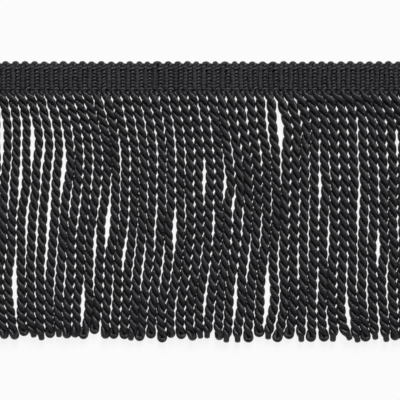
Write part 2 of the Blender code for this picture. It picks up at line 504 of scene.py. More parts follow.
@dataclass
class Sweep:
    """A ply that runs out along one leg, turns over in a half ring and comes back along the other.

    The unit is flat and straight, with its legs along Y. Where each of its points belongs is kept in arrays,
    so that one shape serves for every ply.
    """

    leg_steps: int
    loop_steps: int
    sides: int
    # length of the loop in the UV map, as a share of a leg's
    loop_length: float
    half_gap: float = 4.0

    mesh: bpy.types.Mesh = field(init=False)
    side_x: np.ndarray = field(init=False)
    side_y: np.ndarray = field(init=False)
    out: np.ndarray = field(init=False)
    up: np.ndarray = field(init=False)
    share: np.ndarray = field(init=False)
    on_loop: np.ndarray = field(init=False)

    def __post_init__(self) -> None:
        """Build the unit: legs of length 1, a ply of radius 1, the loop below the legs."""
        mesh = bmesh.new()
        turn = Matrix.Rotation(math.radians(90.0), 4, "X")
        rim = start_ply(mesh, self.sides, Matrix.Translation((-self.half_gap, 0.0, 0.0)) @ turn)
        leg_end = (0.0, -1.0, 0.0)
        stride = 1.0 / self.leg_steps
        rim = draw_on(mesh, rim, self.leg_steps, leg_end, stride=(0.0, -stride, 0.0))
        rim = draw_on(mesh, rim, self.loop_steps, leg_end, angle=math.pi)
        rim = draw_on(mesh, rim, self.leg_steps, leg_end, stride=(0.0, stride, 0.0))
        close_ply(mesh, rim)
        self._place_points(mesh)
        self._unwrap(mesh)
        self.mesh = unit_from(mesh, "unit")

    def _place_points(self, mesh: bmesh.types.BMesh) -> None:
        """Note where each point stands: its side, its offsets from the middle line, its share of the leg.

        Args:
            mesh: The unit.
        """
        points = np.array([vert.co for vert in mesh.verts])
        below = points[:, 1] < -1.0 - 1e-5
        radius = np.hypot(points[:, 0], points[:, 1] + 1.0)
        self.side_x = np.where(below, points[:, 0] / np.maximum(radius, 1e-9), np.sign(points[:, 0]))
        self.side_y = np.where(below, (points[:, 1] + 1.0) / np.maximum(radius, 1e-9), 0.0)
        self.out = np.where(below, radius, np.abs(points[:, 0])) - self.half_gap
        self.up = points[:, 2]
        self.share = np.where(below, 1.0, -points[:, 1])
        self.on_loop = self.share > 1.0 - 1e-6

    def _unwrap(self, mesh: bmesh.types.BMesh) -> None:
        """Map the ply along and around, with the seam on its inner side.

        Args:
            mesh: The unit.
        """
        layer = mesh.loops.layers.uv.new(UV_NAME)
        mesh.verts.index_update()
        around = np.arctan2(self.up, -self.out) / TURN % 1.0
        turned = np.arctan2(self.side_x, -self.side_y) / math.pi
        legs = np.where(self.side_x < 0.0, self.share, 2.0 + self.loop_length - self.share)
        legs = np.where(self.on_loop, 1.0 + self.loop_length * (0.5 + turned), legs)
        for face in mesh.faces:
            numbers = [loop.vert.index for loop in face.loops]
            spans_seam = max(around[numbers]) - min(around[numbers]) > 0.5
            for loop, number in zip(face.loops, numbers):
                place = around[number]
                if spans_seam and place < 0.5:
                    place += 1.0
                loop[layer].uv = (legs[number], place)


@dataclass
class Ply:
    """A unit mesh bent into its place: its points, its dye number and the length that its UV map spans."""

    unit: bpy.types.Mesh
    points: np.ndarray
    dye: float
    length: float


def set_in_scene(mesh: bmesh.types.BMesh, name: str, material: bpy.types.Material) -> bpy.types.Object:
    """Make a mesh an object at the origin.

    Args:
        mesh: The mesh, which is freed.
        name: The object's name.
        material: Its material.

    Returns:
        The object.
    """
    data = bpy.data.meshes.new(name)
    mesh.to_mesh(data)
    mesh.free()
    data.materials.append(material)
    piece = bpy.data.objects.new(name, data)
    bpy.context.scene.collection.objects.link(piece)
    return piece


def joined_piece(name: str, plies: Sequence[Ply], material: bpy.types.Material) -> bpy.types.Object:
    """Join plies into one piece.

    Args:
        name: The piece's name.
        plies: The plies.
        material: The piece's material.

    Returns:
        The piece.
    """
    whole = bmesh.new()
    for ply in plies:
        part = ply.unit.copy()
        part.vertices.foreach_set("co", np.ascontiguousarray(ply.points, dtype=np.float32).ravel())
        dye = np.full(len(ply.points), ply.dye, dtype=np.float32)
        part.attributes[DYE_NAME].data.foreach_set("value", dye)
        uv = np.empty(len(part.loops) * 2, dtype=np.float32)
        part.uv_layers[UV_NAME].uv.foreach_get("vector", uv)
        uv[0::2] *= ply.length
        # a new layer, because the copy's own still shares its numbers with the unit
        part.uv_layers.remove(part.uv_layers[UV_NAME])
        part.uv_layers.new(name=UV_NAME).uv.foreach_set("vector", uv)
        whole.from_mesh(part)
        bpy.data.meshes.remove(part)
    return set_in_scene(whole, name, material)


def hand_over(piece: bpy.types.Object, node: str) -> None:
    """Set a piece in the frame in place of a node, and report it.

    Args:
        piece: The piece.
        node: The node that it stands for.
    """
    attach(piece, BODY)
    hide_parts(node)
    triangles = sum(len(face.vertices) - 2 for face in piece.data.polygons)
    LOG.info("%s stands for %s, %d triangles", piece.name, node, triangles)


class Parting(NamedTuple):
    """Where two neighbouring cords part, in millimetres below the root line."""

    left_bullion: int
    depth: float
    half_length: float
    width: float


@dataclass(frozen=True)
class Lie:
    """How the bullions lie over to the right and part, as they fell. Depths are below the root line."""

    drift_depths: tuple[float, ...] = (0.0, 3.5, 12.0, 23.0, 33.5, 44.5, 55.5, 66.0, 77.0, 86.0)
    # place along the band, then the drift to the right at each of the depths, in millimetres
    drift: tuple[tuple[float, tuple[float, ...]], ...] = (
        (-71.0, (0.0, 1.1, 2.2, 2.2, 1.6, 0.7, 0.3, -0.4, 0.2, 0.7)),
        (-50.0, (0.0, 0.9, 3.0, 4.0, 3.0, 2.1, 1.4, 0.6, 0.1, 0.0)),
        (-31.0, (0.0, 0.7, 2.1, 3.4, 3.4, 2.6, 1.4, 0.7, 0.1, -0.5)),
        (-11.0, (0.0, 0.4, 1.8, 2.7, 2.5, 2.5, 2.1, 0.8, -0.7, -1.2)),
        (9.0, (0.0, 0.2, 1.3, 2.4, 2.9, 2.3, 1.6, 0.5, -0.5, -1.3)),
        (18.0, (0.0, 0.2, 1.2, 2.4, 2.6, 2.4, 1.7, 0.9, 0.4, -0.8)),
        (30.0, (0.0, 1.3, 2.8, 2.5, 2.6, 2.1, 1.8, 1.8, 1.4, 0.8)),
        (50.0, (0.0, 1.6, 2.4, 2.8, 3.0, 2.8, 2.6, 2.1, 2.1, 3.0)),
        (68.0, (0.0, 0.9, 2.6, 3.0, 3.1, 3.2, 3.3, 2.8, 3.2, 3.6)),
    )
    partings: tuple[Parting, ...] = (
        Parting(0, 16.0, 13.0, 0.9),
        Parting(2, 32.0, 9.0, 0.8),
        Parting(2, 72.0, 15.0, 1.3),
        Parting(3, 18.0, 10.0, 0.9),
        Parting(5, 44.0, 13.0, 0.8),
        Parting(6, 29.0, 12.0, 0.9),
        Parting(9, 76.0, 11.0, 0.8),
        Parting(10, 54.0, 9.0, 1.0),
        Parting(11, 48.0, 12.0, 1.3),
        Parting(13, 58.0, 9.0, 0.7),
        Parting(18, 49.0, 10.0, 1.1),
        Parting(21, 31.0, 11.0, 0.8),
        Parting(22, 48.0, 9.0, 0.8),
        Parting(22, 76.0, 10.0, 0.8),
        Parting(23, 34.0, 7.0, 0.7),
        Parting(24, 39.0, 7.0, 0.8),
        Parting(25, 75.0, 11.0, 0.8),
        Parting(28, 74.0, 13.0, 1.5),
        Parting(29, 13.0, 10.0, 1.6),
        Parting(33, 33.0, 8.0, 0.8),
        Parting(36, 80.0, 11.0, 1.4),
        Parting(37, 36.0, 22.0, 0.6),
        Parting(39, 56.0, 8.0, 0.8),
        Parting(41, 17.0, 6.0, 0.8),
    )
    girth_depths: tuple[float, ...] = (3.0, 12.0, 20.0, 31.0, 56.0, 80.0)
    # share of the usual girth at each of the depths, for places spread evenly over the band's length
    girths: tuple[tuple[float, ...], ...] = (
        (0.97, 0.91, 0.90, 0.99, 0.99, 1.00),
        (0.95, 0.93, 0.92, 0.98, 0.99, 1.00),
        (0.98, 0.97, 0.97, 0.99, 0.98, 0.98),
        (1.00, 0.95, 0.95, 0.97, 0.96, 1.00),
        (1.00, 0.98, 0.98, 1.00, 1.00, 0.99),
        (1.02, 1.00, 1.02, 1.02, 1.01, 1.03),
        (1.03, 1.02, 1.03, 1.03, 1.03, 1.04),
        (1.00, 1.02, 1.01, 1.02, 1.02, 1.03),
        (1.02, 1.05, 1.03, 1.04, 1.04, 1.04),
    )
    # how many cords away a parting still pushes
    parting_reach: float = 2.4
    wander: float = 0.12 * MM
    wander_waves: tuple[tuple[float, float], ...] = ((27.0 * MM, 1.0), (46.0 * MM, 0.8))
    wander_start: float = 10.0 * MM
    seed: int = 4

    def _drift_in_row(self, values: tuple[float, ...], depths: np.ndarray) -> np.ndarray:
        """Read one row of the drift table, on a smooth curve through its values.

        Args:
            values: The row, in millimetres.
            depths: Depths below the root line.

        Returns:
            The drift at each depth.
        """
        knots = np.array(self.drift_depths) * MM
        row = np.array(values) * MM
        last = len(knots) - 1
        index = np.clip(np.searchsorted(knots, depths, side="left") - 1, 0, last - 1)
        share = np.clip((depths - knots[index]) / (knots[index + 1] - knots[index]), 0.0, 1.0)
        start, end = row[index], row[index + 1]
        leave = 0.5 * (end - row[np.maximum(index - 1, 0)])
        arrive = 0.5 * (row[np.minimum(index + 2, last)] - start)
        square, cube = share**2, share**3
        curve = (2 * cube - 3 * square + 1) * start + (cube - 2 * square + share) * leave
        return curve + (3 * square - 2 * cube) * end + (cube - square) * arrive

    def _drift(self, place: float, depths: np.ndarray) -> np.ndarray:
        """Drift of a cord that is rooted at a place.

        Args:
            place: X of its root, from the middle bullion's.
            depths: Depths below the root line.

        Returns:
            The drift at each depth.
        """
        places = [row[0] * MM for row in self.drift]
        index = int(np.clip(np.searchsorted(places, place) - 1, 0, len(places) - 2))
        share = ease((place - places[index]) / (places[index + 1] - places[index]))
        left = self._drift_in_row(self.drift[index][1], depths)
        right = self._drift_in_row(self.drift[index + 1][1], depths)
        return blend(left, right, share)

    def girth(self, number: int, depths: np.ndarray) -> np.ndarray:
        """How wide a cord looks.

        Args:
            number: The cord's number.
            depths: Depths below the root line.

        Returns:
            The girth at each depth, as a share of the usual.
        """
        columns = [np.interp(depths, np.array(self.girth_depths) * MM, row) for row in self.girths]
        place = min(number / (BULLION_COUNT - 1) * (len(columns) - 1), len(columns) - 1.001)
        index = int(place)
        return blend(columns[index], columns[index + 1], place - index)

    def _push(self, number: int, depths: np.ndarray) -> np.ndarray:
        """Push on one cord from the partings near it.

        Args:
            number: The cord's number.
            depths: Depths below the root line.

        Returns:
            The push to the right at each depth.
        """
        push = np.zeros_like(depths)
        for parting in self.partings:
            along = np.clip((depths - parting.depth * MM) / (parting.half_length * MM), -1.0, 1.0)
            away = number - (parting.left_bullion + 0.5)
            fade = math.exp(-(abs(away) - 0.5) / self.parting_reach)
            push += math.copysign(0.5 * parting.width * MM, away) * fade * np.cos(0.5 * math.pi * along) ** 2
        return push

    def middle_lines(self, depths: np.ndarray) -> np.ndarray:
        """Sideways places of all the cords' middle lines, from the middle bullion's root.

        Args:
            depths: Depths below the root line.

        Returns:
            One row for each bullion.
        """
        dice = random.Random(self.seed)
        lines = []
        for number in range(BULLION_COUNT):
            phases = [dice.uniform(0.0, TURN) for _ in self.wander_waves]
            wander = np.zeros_like(depths)
            for (wave, strength), phase in zip(self.wander_waves, phases):
                wander += strength * np.sin(TURN * depths / wave + phase)
            wander *= self.wander * ease(depths / self.wander_start)
            place = root_place(number)
            lines.append(place + self._drift(place, depths) + self._push(number, depths) + wander)
        return np.array(lines)


class Cord(NamedTuple):
    """One bullion: its length below the root line, its twist, and the end's lean to the right.

    Lengths are in millimetres. The first half turn comes late by a share of a half turn.
    """

    length: float
    half_turns: float
    late: float
    lean: float


CORDS = (
    Cord(88.7, 23.25, 0.2, 0.3),
    Cord(88.6, 23.25, 0.2, 0.8),
    Cord(88.8, 24.25, 0.2, 1.1),
    Cord(87.6, 24.0, 0.2, 0.8),
    Cord(88.1, 23.5, 0.0, 1.0),
    Cord(89.1, 23.5, 0.1, 0.7),
    Cord(88.3, 24.0, 0.3, 0.3),
    Cord(88.0, 23.5, 0.2, 0.3),
    Cord(88.4, 24.25, 0.0, -0.3),
    Cord(88.1, 24.25, 0.0, 0.0),
    Cord(88.7, 24.0, 0.0, -0.5),
    Cord(86.9, 24.0, 0.5, -0.4),
    Cord(88.5, 23.25, 0.6, 0.2),
    Cord(88.6, 24.0, 0.3, -0.3),
    Cord(88.7, 24.0, 0.2, -0.5),
    Cord(89.2, 23.5, 0.2, -0.7),
    Cord(89.4, 23.0, 0.4, -0.3),
    Cord(88.5, 23.0, 0.5, -0.3),
    Cord(89.9, 24.0, 0.1, 0.0),
    Cord(88.2, 23.75, 0.3, 0.2),
    Cord(88.7, 23.0, 0.2, 0.5),
    Cord(89.2, 23.25, 0.0, 1.1),
    Cord(88.5, 23.5, 0.2, 0.6),
    Cord(88.4, 23.5, 0.2, -0.4),
    Cord(89.0, 22.75, 0.5, 0.7),
    Cord(89.9, 21.5, 0.4, -0.3),
    Cord(89.9, 22.5, 0.4, 0.1),
    Cord(89.9, 23.0, 0.3, 0.6),
    Cord(88.0, 23.0, 0.3, 0.5),
    Cord(88.8, 22.5, 0.5, -0.4),
    Cord(89.8, 22.0, 0.7, -1.0),
    Cord(88.7, 22.0, 0.8, -0.9),
    Cord(89.7, 22.5, 0.4, 0.1),
    Cord(89.7, 23.0, 0.2, -0.4),
    Cord(89.6, 23.0, 0.2, 0.5),
    Cord(89.6, 22.5, 0.3, -0.4),
    Cord(89.1, 22.5, 0.2, 2.0),
    Cord(89.9, 22.5, 0.3, 1.3),
    Cord(89.6, 23.0, 0.1, 0.7),
    Cord(88.9, 22.5, 0.2, 0.6),
    Cord(89.7, 22.5, 0.4, 0.7),
    Cord(89.1, 22.75, 0.4, 0.6),
    Cord(89.3, 23.0, 0.3, 0.4),
    Cord(89.0, 22.75, 0.3, 0.3),
    Cord(89.2, 22.25, 0.2, 0.2),
)


@dataclass
class Bullions:
    """The twisted cords: each is one ply that is doubled back and twisted on itself, with a looped end."""

    middle: float
    root_line: float
    finish: YarnFinish = BULLION_FINISH
    lie: Lie = Lie()

    ply_radius: float = 0.85 * MM
    ply_width: float = 1.11 * MM
    ply_offset: float = 0.92 * MM
    ply_lean: float = 0.5
    ply_shift: float = 0.36 * MM
    overlap: float = 0.06 * MM
    sunk: float = 0.01 * MM

    root_width: float = 1.20 * MM
    root_length: float = 3.0 * MM
    root_offset: float = 0.94 * MM
    root_reach: float = 1.9 * MM
    above_root: float = 0.75 * MM
    # how far the left and the right leg dive under the foot
    root_dive: tuple[float, float] = (0.1 * MM, 0.75 * MM)

    half_turn: float = 3.59 * MM
    first_half_turn: float = 2.9 * MM
    slack_bow: float = 0.2
    twist_fade: float = 2.0 * MM

    end_radius: float = 0.60 * MM
    end_width: float = 1.03 * MM
    end_fill: float = 0.62
    end_twist: float = 0.25
    end_reach: float = 8.0 * MM
    lean_reach: float = 5.0 * MM
    longer: float = 0.15 * MM

    squeeze: float = 0.94
    relax_rounds: int = 60
    relax_push: float = 0.25
    held_length: float = 4.0 * MM

    station: float = 0.5 * MM
    highest: float = -2.0 * MM
    deepest: float = 91.0 * MM
    leg_steps: int = 236
    loop_steps: int = 12
    sides: int = 16
    loop_length: float = 0.035
    pieces: tuple[str, ...] = ("bullions_a", "bullions_b", "bullions_c", "bullions_d", "bullions_e")

    depths: np.ndarray = field(init=False)

    def build(self) -> list[bpy.types.Object]:
        """Build the cords, in pieces of a few cords each.

        Returns:
            The pieces.
        """
        self.depths = np.arange(self.highest, self.deepest, self.station)
        twists = np.array([self._twist(cord) for cord in CORDS])
        offsets = np.array([self._offset(cord) for cord in CORDS])
        fallen = self.lie.middle_lines(np.maximum(self.depths, 0.0))
        lines = self.middle + self._settled(fallen, twists, offsets)
        unit = Sweep(self.leg_steps, self.loop_steps, self.sides, self.loop_length)
        dice = random.Random(self.lie.seed)
        plies = []
        for number, cord in enumerate(CORDS):
            points = self._cord_points(unit, number, lines[number], twists[number], offsets[number])
            plies.append(Ply(unit.mesh, points, dice.random(), cord.length * MM))
        material = self.finish.make()
        share = BULLION_COUNT // len(self.pieces)
        made = []
        for index, name in enumerate(self.pieces):
            made.append(joined_piece(name, plies[index * share:(index + 1) * share], material))
        return made

    def _leg_end(self, cord: Cord) -> float:
        """Depth at which the legs of a cord turn into its loop."""
        return cord.length * MM + self.longer - TipForm.of(cord.half_turns).loop_radius - self.end_radius

    def _near_end(self, cord: Cord, depths: np.ndarray) -> np.ndarray:
        """Share from 0, where the cord is twisted, to 1, at its loop."""
        return ease((depths - self._leg_end(cord) + self.twist_fade) / self.twist_fade)

    def _twist(self, cord: Cord) -> np.ndarray:
        """Half turns of a cord: slack in its upper half, tighter near its end, and none at its loop.

        Args:
            cord: The cord.

        Returns:
            Half turns from the root down to each station.
        """
        start = self._leg_end(cord) - self.twist_fade
        fading = np.clip((self.depths - start) / self.twist_fade, 0.0, 1.0)
        run = np.clip(self.depths, 0.0, start) + self.twist_fade * (fading - 0.5 * fading**2)
        whole = start + 0.5 * self.twist_fade
        first = self.first_half_turn + cord.late * self.half_turn
        share = np.clip((run - first) / (whole - first), 0.0, 1.0)
        usual = 1.0 + (whole - self.first_half_turn) / self.half_turn
        slack = self.slack_bow * (usual - cord.half_turns + self.end_twist - cord.late)
        tight = self.end_twist * (ease((run - whole + self.end_reach) / self.end_reach) - share)
        below = 1.0 + (cord.half_turns - 1.0) * share - slack * np.sin(math.pi * share) + tight
        return np.where(run < first, run / first, below)

    def _offset(self, cord: Cord) -> np.ndarray:
        """How far the plies' middles stand from the cord's own.

        Args:
            cord: The cord.

        Returns:
            The offset at each station.
        """
        near_root = np.exp(-np.square(np.maximum(self.depths, 0.0) / self.root_reach))
        root = (self.root_offset - self.ply_offset) * near_root
        loop_radius = TipForm.of(cord.half_turns).loop_radius
        return self.ply_offset + root + (loop_radius - self.ply_offset) * self._near_end(cord, self.depths)

    def _settled(self, lines: np.ndarray, twists: np.ndarray, offsets: np.ndarray) -> np.ndarray:
        """Press neighbouring cords apart where their plies would run into each other.

        Args:
            lines: Middle lines as they fell.
            twists: Half turns at each station.
            offsets: Ply offsets at each station.

        Returns:
            The middle lines, clear of each other.
        """
        side = offsets * np.cos(math.pi * twists)
        height = offsets * np.sin(math.pi * twists)
        contact = 2.0 * self.ply_radius * self.squeeze
        needed = np.zeros_like(lines[1:])
        for own in (-1.0, 1.0):
            for other in (-1.0, 1.0):
                rise = own * height[:-1] - other * height[1:]
                reach = np.sqrt(np.maximum(contact**2 - rise**2, 0.0))
                needed = np.maximum(needed, reach + own * side[:-1] - other * side[1:])
        free = ease(self.depths / self.held_length)
        moved = np.zeros_like(lines)
        for _ in range(self.relax_rounds):
            push = self.relax_push * np.maximum(needed - np.diff(lines + moved, axis=0), 0.0)
            moved[:-1] -= push
            moved[1:] += push
            moved[:, 1:-1] = 0.5 * moved[:, 1:-1] + 0.25 * (moved[:, :-2] + moved[:, 2:])
            moved *= free
        short = (needed - np.diff(lines + moved, axis=0))[:, self.depths > self.held_length]
        LOG.info("cords settled: below the roots they still press by %.2f mm", float(short.max()) / MM)
        return lines + moved

    def _axis_height(self, cord: Cord, near_end: np.ndarray) -> np.ndarray:
        """Height of a cord's middle line, which rests on the plies and then on the flat or upright loop.

        Args:
            cord: The cord.
            near_end: Share from 0, where it is twisted, to 1, at its loop.

        Returns:
            The height for each share.
        """
        form = TipForm.of(cord.half_turns)
        twisted = self.ply_offset + self.ply_radius - self.sunk
        standing = abs(math.sin(math.pi * form.turn_share))
        looped = self.end_width + (form.loop_radius + self.end_radius - self.end_width) * standing
        return blend(twisted, min(looped, twisted), near_end)

    def _cord_points(
        self, unit: Sweep, number: int, line: np.ndarray, twist: np.ndarray, offset: np.ndarray
    ) -> np.ndarray:
        """Twist and bend the unit into one cord.

        Args:
            unit: The straight doubled ply.
            number: The cord's number.
            line: Its middle line.
            twist: Its half turns.
            offset: Its plies' offset.

        Returns:
            The points.
        """
        cord = CORDS[number]
        depth = blend(-self.above_root, self._leg_end(cord), unit.share)
        twisted = 1.0 - self._near_end(cord, depth)
        depth = depth + unit.side_x * unit.up * self.ply_shift * twisted
        near_end = self._near_end(cord, depth)
        near_root = 1.0 - ease(depth / self.root_length)
        leaning = ease((self.depths - cord.length * MM + self.lean_reach) / self.lean_reach)
        bent = line + cord.lean * MM * leaning
        slope = np.interp(depth, self.depths, np.gradient(bent, self.depths))
        angle = math.pi * np.interp(depth, self.depths, twist)
        turning = math.pi * np.interp(depth, self.depths, np.gradient(twist, self.depths))
        stand = np.interp(depth, self.depths, offset)
        lean_in = self.ply_lean * np.arctan(stand * turning)

        inner = unit.out < 0.0
        radius = blend(self.ply_radius, self.end_radius, near_end)
        inner_radius = np.maximum(radius, stand + self.overlap * twisted)
        out = stand + unit.out * np.where(inner, inner_radius, radius)
        width = blend(blend(self.ply_width, self.end_width, near_end), self.root_width, near_root)
        filled = np.where(inner, 1.0 - self.end_fill * near_end, 1.0)
        up = np.sign(unit.up) * np.abs(unit.up) ** filled * width * np.cos(lean_in)

        flat = unit.side_x * out
        across = self.lie.girth(number, depth) * (flat * np.cos(angle) + up * np.sin(angle))
        beyond = unit.side_x * unit.up * width * np.sin(lean_in) - unit.side_y * out
        dive = np.where(unit.side_x < 0.0, *self.root_dive) * near_root
        height = self._axis_height(cord, near_end) - dive - flat * np.sin(angle) + up * np.cos(angle)
        norm = np.sqrt(1.0 + slope**2)
        x = np.interp(depth, self.depths, bent) + (across + slope * beyond) / norm
        y = self.root_line - depth + (slope * across - beyond) / norm
        return np.column_stack((x, y, np.maximum(height, 0.0)))


@dataclass
class Stitch:
    """One chain stitch: a half ring over a weft, which may slant and have its middle pulled up.

    Reach is half its width, foot is the height of its ends and top that of its middle line's top.
    """

    x: float
    y: float
    reach: float
    foot: float
    top: float
    radius: float
    slant: float = 0.0
    peak: float = 0.0


@dataclass
class Stitchwork:
    """Stitches that become one piece.

    Each is bent from a unit, a short ply of radius 1 that passes over a weft in a half ring.
    """

    seed: int
    yarn_length: float
    ring: float = 2.0
    steps: int = 8
    # how much of the yarn's thickness a stitch's legs keep
    leg_thickness: float = 0.6

    dice: random.Random = field(init=False)
    unit: bpy.types.Mesh = field(init=False)
    flat: np.ndarray = field(init=False)
    plies: list[Ply] = field(init=False, default_factory=list)

    def __post_init__(self) -> None:
        """Build the unit."""
        self.dice = random.Random(self.seed)
        mesh = bmesh.new()
        rim = start_ply(mesh, self.steps, Matrix.Translation((-self.ring, 0.0, 0.0)))
        rim = draw_on(mesh, rim, self.steps, (0.0, 0.0, 0.0), axis=(0.0, 1.0, 0.0), angle=math.pi)
        close_ply(mesh, rim)
        layer = mesh.loops.layers.uv.new(UV_NAME)
        for face in mesh.faces:
            for loop in face.loops:
                point = loop.vert.co
                around = math.atan2(point.y, math.hypot(point.x, point.z) - self.ring) / TURN
                loop[layer].uv = (math.atan2(point.z, -point.x) / math.pi, around)
        self.unit = unit_from(mesh, "stitch")
        self.flat = np.array([vert.co for vert in self.unit.vertices])

    def points(self, stitch: Stitch) -> np.ndarray:
        """Bend the unit into a stitch.

        Args:
            stitch: The stitch.

        Returns:
            The points.
        """
        ring = np.hypot(self.flat[:, 0], self.flat[:, 2])
        out = (ring - self.ring) * stitch.radius
        across = self.flat[:, 0] / ring * (stitch.reach + self.leg_thickness * out)
        along = self.flat[:, 1] * stitch.radius + across * stitch.slant - np.abs(across) * stitch.peak
        height = stitch.foot + np.abs(self.flat[:, 2]) / ring * (stitch.top - stitch.foot + out)
        return np.column_stack((stitch.x + across, stitch.y + along, height))

    def work(self, points: np.ndarray) -> None:
        """Add a stitch with these points."""
        self.plies.append(Ply(self.unit, points, self.dice.random(), self.yarn_length))

    def piece(self, name: str, material: bpy.types.Material) -> bpy.types.Object:
        """Join the stitches."""
        return joined_piece(name, self.plies, material)


class Rib(NamedTuple):
    """One rib of the heading, from the valley on its left to the one on its right."""

    left: float
    right: float

    @property
    def width(self) -> float:
        """Width from valley to valley."""
        return self.right - self.left

    def at(self, share: float) -> float:
        """X at a share of the width."""
        return self.left + share * self.width


class RowForm(NamedTuple):
    """How the stitches of a row differ from the rest."""

    reach: float = 1.0
    radius: float = 1.0
    shift: float = 0.0
    slant_kept: float = 1.0
    slant_added: float = 0.0
    peak: float | None = None


@dataclass
class Heading:
    """The crocheted band: wefts run up, turn over at the scallops and come down under chain stitches."""

    middle: float
    lower_edge: float
    upper_edge: float
    left_end: float
    right_end: float
    finish: YarnFinish = HEADING_FINISH
    # a lighter copy of the heading yarn for the chain stitches, as painted light
    lit_chain_finish: YarnFinish = LIT_CHAIN_FINISH
    seed: int = 7

    # valleys that the crochet pulled aside: number of the bullion below, shift in millimetres
    pulled_valleys: dict[int, float] = field(
        default_factory=lambda: {
            16: -0.4, 17: -0.95, 22: -0.5, 24: -0.6, 26: -0.65, 27: -0.85, 28: -0.7, 29: -0.5
        }
    )
    smooth_share: float = 0.275
    beaded_share: float = 0.744

    leg_steps: int = 40
    loop_steps: int = 12
    sides: int = 12
    loop_length: float = 0.24
    arch_radius: float = 0.52 * MM
    arch_ply: float = 0.77 * MM
    arch_flatness: float = 0.76
    arch_height: float = 1.0 * MM
    arch_drop: float = 0.2 * MM
    arch_sway: float = 0.12 * MM
    gather: float = 0.9 * MM
    dip: float = 0.20 * MM
    dip_place: float = 0.75 * MM
    dip_half_length: float = 0.5 * MM
    smooth_half_width: float = 0.82 * MM
    smooth_half_height: float = 0.62 * MM
    smooth_height: float = 1.32 * MM
    beaded_half_width: float = 0.74 * MM
    beaded_half_height: float = 0.60 * MM
    beaded_height: float = 1.18 * MM
    # how the crochet's rows grip, swell and sway a leg; paces are in waves a row
    grip: float = 0.36
    grip_spread: tuple[float, float] = (0.6, 1.4)
    beaded_grip: float = 0.1
    narrowing: float = 0.4
    swell: float = 0.08
    swell_pace: float = 0.45
    sway: float = 0.14 * MM
    sway_pace: float = 0.16

    rows: int = 8
    first_row: float = 0.36 * MM
    row_pitch: float = 1.19 * MM
    row_forms: dict[int, RowForm] = field(
        default_factory=lambda: {
            0: RowForm(reach=1.5, peak=0.45),
            6: RowForm(reach=1.35, shift=-0.15 * MM, slant_kept=0.4, peak=0.0),
            7: RowForm(reach=0.6, radius=1.35, slant_kept=0.0, slant_added=1.1, peak=0.0),
        }
    )
    stitch_radius: float = 0.34 * MM
    stitch_reach: float = 0.63 * MM
    stitch_foot: float = 0.75 * MM
    stitch_top: float = 2.02 * MM
    stitch_yarn: float = 1.4 * MM
    widest_reach: float = 0.33
    reach_spread: tuple[float, float] = (0.9, 1.12)
    top_spread: tuple[float, float] = (0.96, 1.03)
    radius_spread: tuple[float, float] = (0.88, 1.1)
    column_slant: tuple[float, float] = (0.0, 0.55)
    slant_spread: tuple[float, float] = (-0.2, 0.2)
    peak_spread: tuple[float, float] = (0.35, 0.85)
    aside: float = 0.06 * MM
    unlevel: float = 0.07 * MM

    # the cross stitch over a smooth leg, between the last rows
    cross_row: float = 6.4
    cross_reach: float = 0.55 * MM
    cross_reach_spread: tuple[float, float] = (0.6, 1.1)
    cross_slant: tuple[float, float] = (0.3, 0.9)
    cross_foot: float = 1.2 * MM
    cross_top: float = 1.95 * MM
    cross_radius: float = 0.22 * MM

    lap_radius: float = 0.24 * MM
    lap_depth: float = 0.45 * MM
    lap_reach: float = 0.52
    lap_slant: float = 0.16
    lap_unlevel: float = 0.05 * MM
    lap_yarn: float = 4.0 * MM

    ground_height: float = 0.85 * MM
    ground_thickness: float = 0.4 * MM
    ground_ripple: float = 0.08 * MM
    ground_below: float = 1.1 * MM
    ground_steps_a_rib: int = 8
    ground_steps_a_row: int = 2
    valley_depth: float = 0.90 * MM

    material: bpy.types.Material = field(init=False)
    lit_chain_material: bpy.types.Material = field(init=False)

    def build(self) -> list[bpy.types.Object]:
        """Build the wefts, the chain stitches, the ground and the laps on its back.

        Returns:
            The pieces.
        """
        self.material = self.finish.make()
        self.lit_chain_material = self.lit_chain_finish.make()
        return [self._wefts(), self._chains(), self._ground(), self._laps()]

    def _valley(self, number: int) -> float:
        """X of the valley above a bullion."""
        return self.middle + root_place(number) + self.pulled_valleys.get(number, 0.0) * MM

    def _ribs(self) -> list[Rib]:
        """List the ribs from left to right, with the one that the left end cuts."""
        return [Rib(self._valley(number), self._valley(number + 1)) for number in range(-1, BULLION_COUNT)]

    def _row_line(self, row: float) -> float:
        """Y of a row of stitches."""
        return self.lower_edge + self.first_row + row * self.row_pitch

    def _wefts(self) -> bpy.types.Object:
        """Make the wefts as loops that stand on the lower edge, cut plainly at both ends.

        Returns:
            The piece.
        """
        unit = Sweep(self.leg_steps, self.loop_steps, self.sides, self.loop_length)
        dice = random.Random(self.seed)
        plies = []
        for rib in self._ribs():
            points = self._weft_points(unit, rib, dice)
            plies.append(Ply(unit.mesh, points, dice.random(), self.upper_edge - self.lower_edge))
        piece = joined_piece("heading_wefts", plies, self.material)
        self._cut_ends(piece)
        return piece

    def _weft_points(self, unit: Sweep, rib: Rib, dice: random.Random) -> np.ndarray:
        """Bend the unit into one weft loop.

        Args:
            unit: The straight doubled ply.
            rib: The rib that it makes.
            dice: Draws its small differences.

        Returns:
            The points.
        """
        drop = dice.uniform(0.0, self.arch_drop)
        spring = self.upper_edge - self.arch_flatness * (self.arch_radius + self.arch_ply) - drop
        centre = rib.at(0.5) + dice.uniform(-self.arch_sway, self.arch_sway)
        smooth = unit.side_x < 0.0
        side = np.sign(unit.side_x)
        rise = blend(self.lower_edge, spring, unit.share)
        below = spring - rise
        near_arch = np.exp(-np.square(below / self.gather))
        row = (rise - self._row_line(0)) / self.row_pitch
        swell = 1.0 + self.swell * np.sin(TURN * (self.swell_pace * row + dice.random()))
        grip = np.where(smooth, self.grip * dice.uniform(*self.grip_spread), self.beaded_grip)
        gripped = (0.5 + 0.5 * np.cos(TURN * row)) * grip
        sway = dice.uniform(-self.sway, self.sway) * np.sin(TURN * (self.sway_pace * row + dice.random()))

